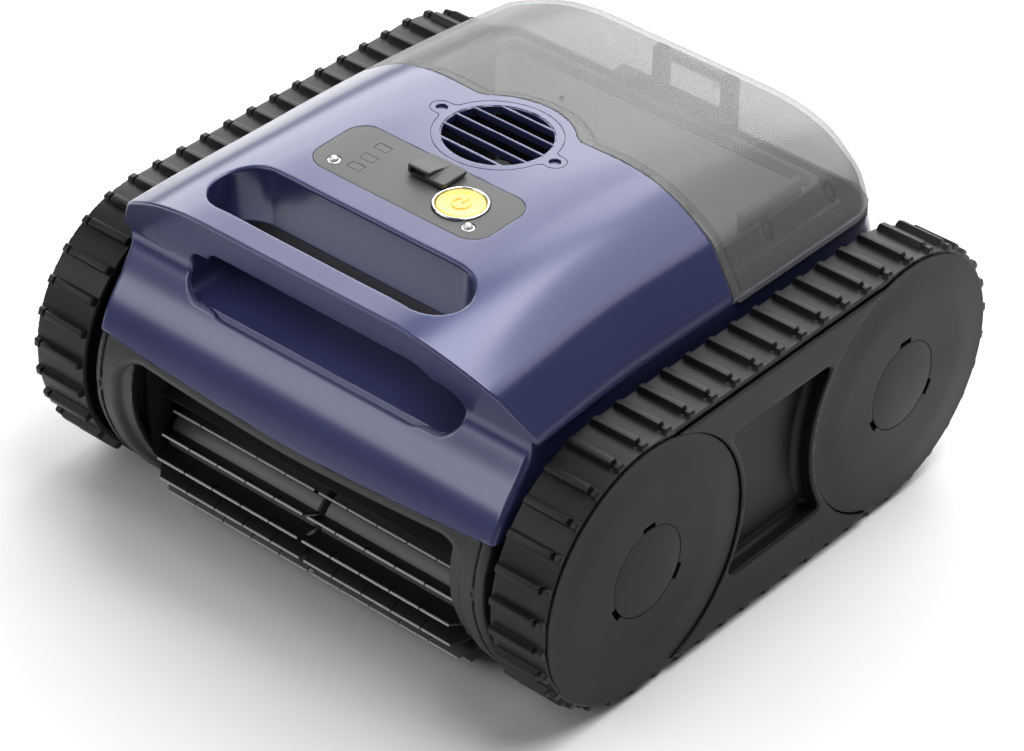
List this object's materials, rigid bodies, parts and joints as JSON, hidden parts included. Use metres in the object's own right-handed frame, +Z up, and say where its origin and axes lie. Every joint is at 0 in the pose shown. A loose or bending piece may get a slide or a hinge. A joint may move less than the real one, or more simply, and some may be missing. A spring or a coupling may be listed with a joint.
{
  "type": "pool cleaner",
  "caption": "Cordless robotic pool cleaner: blue shell with a carrying slot, smoked filter lid, rubber tracks on covered wheels and a front brush.",
  "frame": {"origin": "on the ground below the middle of the machine", "axes": "+X to the machine's own left-hand side, -Y to the front with the brush, +Z up"},
  "size_m": [0.4076, 0.4192, 0.2535],
  "materials": {
    "navy_shell": "satin metallic blue paint look",
    "dark_body": "fine satin",
    "track_rubber": "matt",
    "cover_plastic": "fine texture",
    "panel_grey": "smooth matt",
    "window_grey": "translucent light guide",
    "flap_rubber": "matt",
    "bright_metal": "polished",
    "button_yellow": "satin",
    "smoked_lid": "clear smoked plastic",
    "seal_rubber": "matt",
    "inner_black": "moulded",
    "basket_plastic": "moulded",
    "gear_plastic": "moulded",
    "steel": "turned",
    "battery_wrap": "shrink wrap",
    "board_green": "solder mask",
    "brush_rubber": "flexible blade"
  },
  "bodies": {
    "body": {"main_shell": "navy_shell", "front_bumper": "dark_body", "rear_panel": "dark_body", "chassis": "dark_body", "handle_tray": "dark_body", "control_panel": "panel_grey", "light_guide": "window_grey", "power_ring": "bright_metal", "contact_pin_left": "bright_metal", "contact_pin_right": "bright_metal", "charge_socket": "seal_rubber", "outlet_grille": "navy_shell", "lid_gasket": "seal_rubber", "hinge_pin": "steel", "filter_chamber": "inner_black", "filter_basket": "basket_plastic", "pump_housing": "inner_black", "pump_motor": "steel", "battery_pack": "battery_wrap", "control_board": "board_green", "brush_center_support": "inner_black", "track_belt_left": "track_rubber", "side_panel_left": "cover_plastic", "rear_axle_left": "steel", "drive_motor_left": "steel", "track_belt_right": "track_rubber", "side_panel_right": "cover_plastic", "rear_axle_right": "steel", "drive_motor_right": "steel"},
    "filter_lid": {"filter_lid": "smoked_lid"},
    "power_button": {"power_button": "button_yellow"},
    "charge_port_cover": {"charge_port_cover": "flap_rubber"},
    "inlet_flap": {"inlet_flap": "seal_rubber"},
    "impeller": {"impeller": "inner_black"},
    "front_wheel_left": {"front_wheel_left": "cover_plastic", "front_wheel_cover_left": "cover_plastic", "front_hub_cap_left": "cover_plastic", "drive_shaft_left": "steel", "drive_gear_left": "gear_plastic"},
    "rear_wheel_left": {"rear_wheel_left": "cover_plastic", "rear_wheel_cover_left": "cover_plastic", "rear_hub_cap_left": "cover_plastic"},
    "brush_left": {"brush_roller_left": "brush_rubber", "brush_gear_left": "gear_plastic"},
    "idler_gear_left": {"idler_gear_left": "gear_plastic"},
    "motor_pinion_left": {"motor_pinion_left": "gear_plastic"},
    "front_wheel_right": {"front_wheel_right": "cover_plastic", "front_wheel_cover_right": "cover_plastic", "front_hub_cap_right": "cover_plastic", "drive_shaft_right": "steel", "drive_gear_right": "gear_plastic"},
    "rear_wheel_right": {"rear_wheel_right": "cover_plastic", "rear_wheel_cover_right": "cover_plastic", "rear_hub_cap_right": "cover_plastic"},
    "brush_right": {"brush_roller_right": "brush_rubber", "brush_gear_right": "gear_plastic"},
    "idler_gear_right": {"idler_gear_right": "gear_plastic"},
    "motor_pinion_right": {"motor_pinion_right": "gear_plastic"}
  },
  "joints": [
    {"name": "filter_lid_hinge", "type": "hinge", "parent": "body", "child": "filter_lid", "pos_m": [0, 0.168, 0.206], "axis": [-1, 0, 0], "range_deg": [0, 75]},
    {"name": "power_button_press", "type": "slide", "parent": "body", "child": "power_button", "axis": [0, 0, -1], "range_m": [0, 0.0015], "stiffness_N_per_m": 400},
    {"name": "charge_port_cover_hinge", "type": "hinge", "parent": "body", "child": "charge_port_cover", "pos_m": [0.0035, -0.063, 0.2488], "axis": [-1, 0, 0], "range_deg": [0, 110]},
    {"name": "inlet_flap_hinge", "type": "hinge", "parent": "body", "child": "inlet_flap", "pos_m": [0, 0.06, 0.0728], "axis": [-1, 0, 0], "range_deg": [0, 70]},
    {"name": "impeller_spin", "type": "hinge", "parent": "body", "child": "impeller", "pos_m": [0, -0.018, 0.2], "axis": [0, 0, 1], "continuous": true},
    {"name": "drive_wheel_spin_left", "type": "hinge", "parent": "body", "child": "front_wheel_left", "pos_m": [0.182, -0.1196, 0.0904], "axis": [1, 0, 0], "continuous": true},
    {"name": "rear_wheel_spin_left", "type": "hinge", "parent": "body", "child": "rear_wheel_left", "pos_m": [0.182, 0.1196, 0.0904], "axis": [1, 0, 0], "continuous": true},
    {"name": "brush_spin_left", "type": "hinge", "parent": "body", "child": "brush_left", "pos_m": [0.063, -0.15, 0.041], "axis": [1, 0, 0], "continuous": true},
    {"name": "idler_spin_left", "type": "hinge", "parent": "body", "child": "idler_gear_left", "pos_m": [0.139, -0.13742, 0.06144], "axis": [1, 0, 0], "continuous": true},
    {"name": "pinion_spin_left", "type": "hinge", "parent": "body", "child": "motor_pinion_left", "pos_m": [0.139, -0.0856, 0.0904], "axis": [1, 0, 0], "continuous": true},
    {"name": "drive_wheel_spin_right", "type": "hinge", "parent": "body", "child": "front_wheel_right", "pos_m": [-0.182, -0.1196, 0.0904], "axis": [1, 0, 0], "continuous": true},
    {"name": "rear_wheel_spin_right", "type": "hinge", "parent": "body", "child": "rear_wheel_right", "pos_m": [-0.182, 0.1196, 0.0904], "axis": [1, 0, 0], "continuous": true},
    {"name": "brush_spin_right", "type": "hinge", "parent": "body", "child": "brush_right", "pos_m": [-0.063, -0.15, 0.041], "axis": [1, 0, 0], "continuous": true},
    {"name": "idler_spin_right", "type": "hinge", "parent": "body", "child": "idler_gear_right", "pos_m": [-0.139, -0.13742, 0.06144], "axis": [1, 0, 0], "continuous": true},
    {"name": "pinion_spin_right", "type": "hinge", "parent": "body", "child": "motor_pinion_right", "pos_m": [-0.139, -0.0856, 0.0904], "axis": [1, 0, 0], "continuous": true}
  ],
  "couplings": [
    {"joint": "rear_wheel_spin_left", "follows": "drive_wheel_spin_left", "ratio": 1},
    {"joint": "brush_spin_left", "follows": "drive_wheel_spin_left", "ratio": 1.7143},
    {"joint": "idler_spin_left", "follows": "drive_wheel_spin_left", "ratio": -2.4},
    {"joint": "pinion_spin_left", "follows": "drive_wheel_spin_left", "ratio": -2.4},
    {"joint": "rear_wheel_spin_right", "follows": "drive_wheel_spin_right", "ratio": 1},
    {"joint": "brush_spin_right", "follows": "drive_wheel_spin_right", "ratio": 1.7143},
    {"joint": "idler_spin_right", "follows": "drive_wheel_spin_right", "ratio": -2.4},
    {"joint": "pinion_spin_right", "follows": "drive_wheel_spin_right", "ratio": -2.4}
  ]
}
